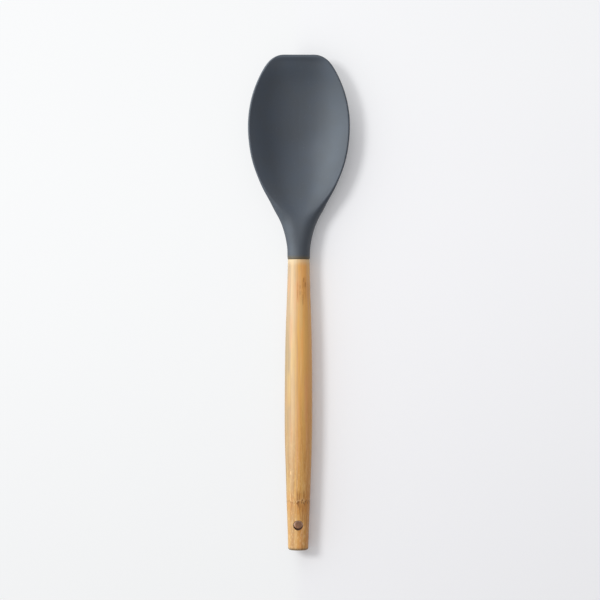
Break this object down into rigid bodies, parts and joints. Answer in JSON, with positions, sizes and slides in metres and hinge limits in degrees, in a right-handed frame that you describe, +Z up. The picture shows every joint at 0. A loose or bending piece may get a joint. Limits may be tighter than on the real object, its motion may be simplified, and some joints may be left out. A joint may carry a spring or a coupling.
{
  "type": "silicone spatula",
  "caption": "Spoon-shaped kitchen spatula with a shallow flexible bowl, a squared tip and a round handle with a hang hole.",
  "frame": {"origin": "middle of the length and of the width, on the surface that the spatula lies on", "axes": "+Y along the handle towards the head's tip, +Z up out of the bowl and along the hang hole, +X across"},
  "size_m": [0.0658, 0.32, 0.0178],
  "materials": {
    "silicone": "satin dark slate silicone",
    "nylon": "plain moulded nylon",
    "glue": "cured clear resin",
    "bamboo_left": "pale sanded bamboo",
    "bamboo_middle": "sanded bamboo with fine grain",
    "bamboo_right": "sanded bamboo with fine grain"
  },
  "bodies": {
    "root": {"silicone_head": "silicone", "nylon_core": "nylon", "tang_glue": "glue", "left_bamboo_ply": "bamboo_left", "middle_bamboo_ply": "bamboo_middle", "right_bamboo_ply": "bamboo_right"}
  },
  "joints": []
}
